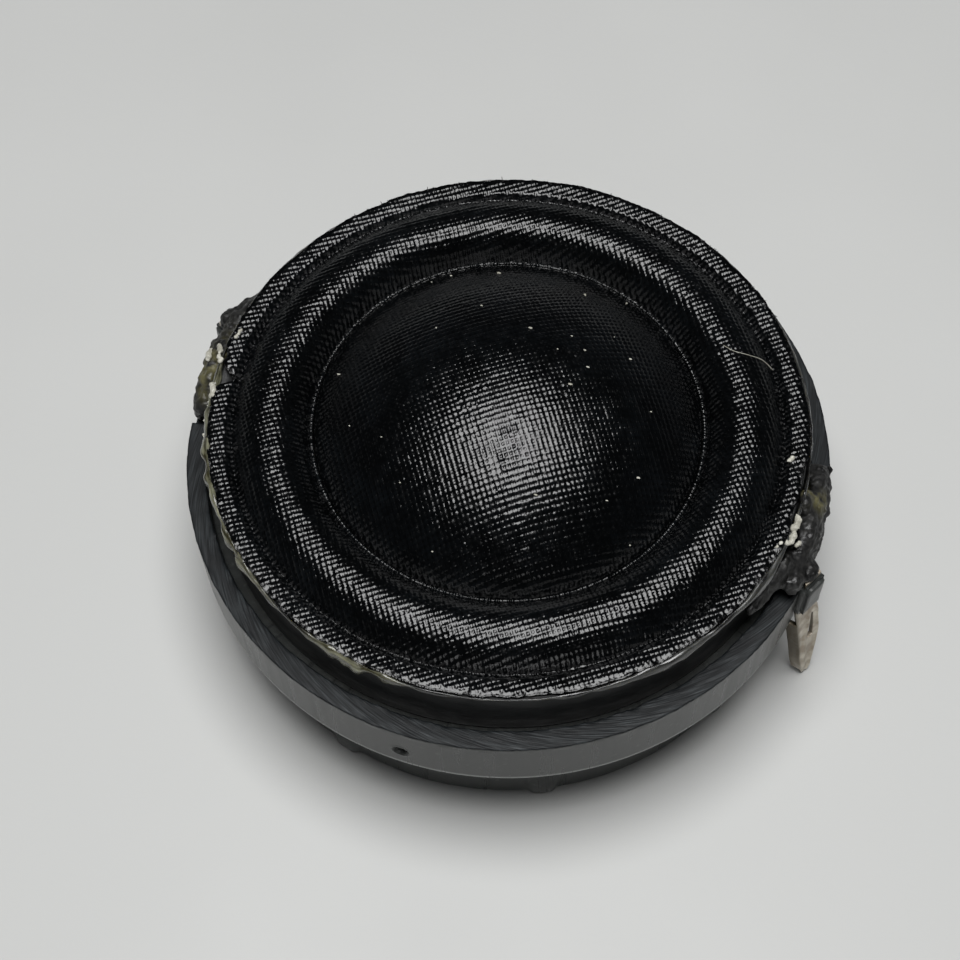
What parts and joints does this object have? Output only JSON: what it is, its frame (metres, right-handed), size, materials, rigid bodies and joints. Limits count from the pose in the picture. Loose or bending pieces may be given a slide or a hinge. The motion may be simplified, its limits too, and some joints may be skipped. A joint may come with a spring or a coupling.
{
  "type": "dome tweeter driver",
  "caption": "Bare dome tweeter: coated fabric dome and roll on a collar, two-piece round housing with pot motor inside, solder lugs in glued joints at opposite sides.",
  "frame": {"origin": "on the driver's axis at the flat back of the rear housing", "axes": "+Z towards the listener along the coil's axis, +X towards the middle of the right lead joint"},
  "size_m": [0.046, 0.0428, 0.0206],
  "materials": {
    "coated_cloth": "black plain weave with a damping coat, semi-gloss on the thread crowns",
    "black_moulding": "satin moulded black plastic, abraded on the cut front face",
    "collar_moulding": "smooth moulded black plastic",
    "amber_adhesive": "dried translucent yellowish glue",
    "black_glue": "hardened lumpy black glue, glossy on the lumps",
    "polyimide": "amber film",
    "copper_wire": "enamelled copper",
    "plated_steel": "zinc plated, fine turned",
    "nickel_magnet": "nickel plated",
    "tinned_lug": "tarnished tinned brass",
    "solder": "bright solder",
    "felt": "dense grey felt"
  },
  "bodies": {
    "housing": {"front_housing": "black_moulding", "rear_housing": "black_moulding", "diaphragm_collar": "collar_moulding", "rim_adhesive": "amber_adhesive", "yoke_cup": "plated_steel", "magnet": "nickel_magnet", "pole_plate": "plated_steel", "damping_pad": "felt", "surround": "coated_cloth", "solder_lug_right": "tinned_lug", "solder_lug_left": "tinned_lug", "solder_joint_right": "solder", "solder_joint_left": "solder", "coil_lead_right": "copper_wire", "coil_lead_left": "copper_wire", "glue_blob_right": "black_glue", "glue_blob_left": "black_glue"},
    "dome_assembly": {"dome": "coated_cloth", "voice_coil_former": "polyimide", "voice_coil_winding": "copper_wire", "coil_bond_ring": "amber_adhesive"}
  },
  "joints": [
    {"name": "dome_travel", "type": "slide", "parent": "housing", "child": "dome_assembly", "axis": [0, 0, 1], "range_m": [-0.0005, 0.0005], "stiffness_N_per_m": 400, "deforming": ["surround", "coil_lead_right", "coil_lead_left"]}
  ]
}
